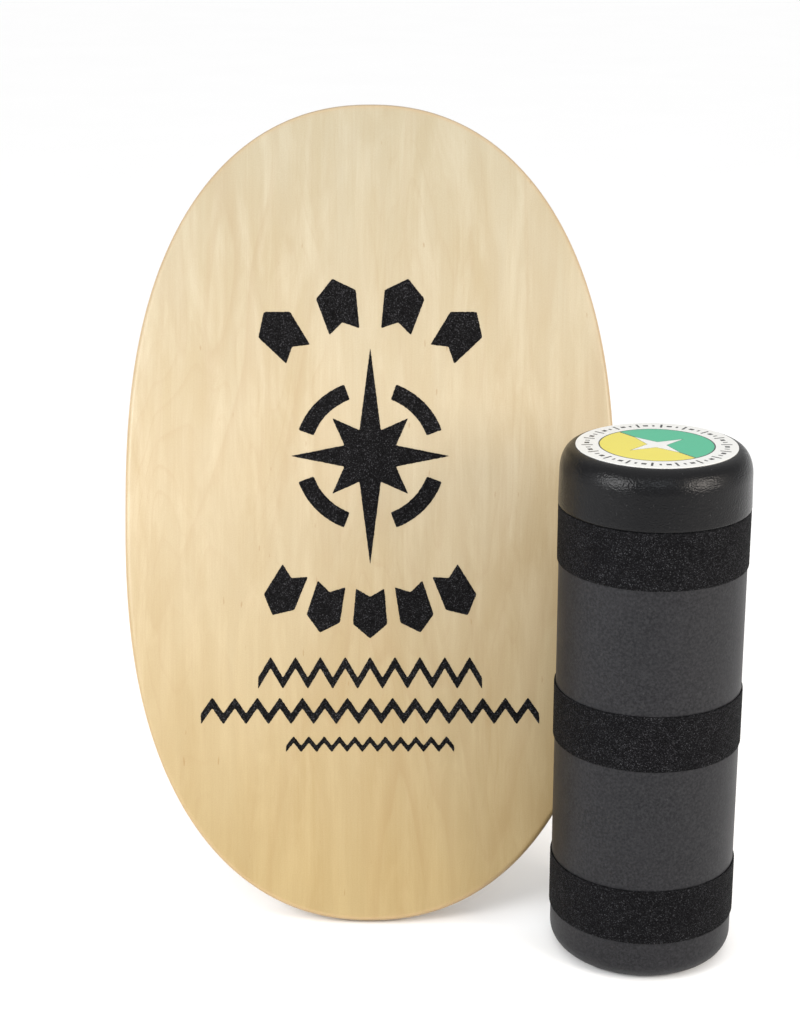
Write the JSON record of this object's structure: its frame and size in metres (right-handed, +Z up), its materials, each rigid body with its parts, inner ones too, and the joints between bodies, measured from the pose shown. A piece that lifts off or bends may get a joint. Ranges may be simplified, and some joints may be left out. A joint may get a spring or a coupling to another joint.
{
  "type": "balance board",
  "caption": "Oval plywood balance board standing on its end, with stop bars under it and a hollow plastic roller with grip bands beside it.",
  "frame": {"origin": "on the floor, at the middle of the bounding box of the leaning deck and the standing roller", "axes": "+Z up; +X across the deck towards the roller; -Y towards the side that the deck's standing face looks to"},
  "size_m": [0.5574, 0.3888, 0.7197],
  "materials": {
    "birch_ply": "satin clear coat",
    "stop_hardwood": "oiled",
    "screw_zinc": "zinc plated",
    "grit_print": "coarse non-slip grit",
    "tube_plastic": "fine matte",
    "cap_plastic": "leather-grained, semi-gloss",
    "grip_tape": "abrasive tape",
    "label_vinyl": "satin vinyl"
  },
  "bodies": {
    "deck": {"deck_panel": "birch_ply", "stop_head": "stop_hardwood", "stop_tail": "stop_hardwood", "stop_screw_head_1": "screw_zinc", "stop_screw_head_2": "screw_zinc", "stop_screw_head_3": "screw_zinc", "stop_screw_tail_1": "screw_zinc", "stop_screw_tail_2": "screw_zinc", "stop_screw_tail_3": "screw_zinc", "grit_star": "grit_print", "grit_ring_1": "grit_print", "grit_ring_2": "grit_print", "grit_ring_3": "grit_print", "grit_ring_4": "grit_print", "grit_upper_1": "grit_print", "grit_upper_2": "grit_print", "grit_upper_3": "grit_print", "grit_upper_4": "grit_print", "grit_lower_1": "grit_print", "grit_lower_2": "grit_print", "grit_lower_3": "grit_print", "grit_lower_4": "grit_print", "grit_lower_5": "grit_print", "grit_zigzag_1": "grit_print", "grit_zigzag_2": "grit_print", "grit_zigzag_3": "grit_print"},
    "roller": {"roller_tube": "tube_plastic", "roller_cap": "cap_plastic", "grip_band_1": "grip_tape", "grip_band_2": "grip_tape", "grip_band_3": "grip_tape", "cap_label": "label_vinyl"}
  },
  "joints": [
    {"name": "roller_spin", "type": "hinge", "parent": "deck", "child": "roller", "pos_m": [0.1959, -0.11164, 0], "axis": [0, 0, 1], "continuous": true}
  ]
}
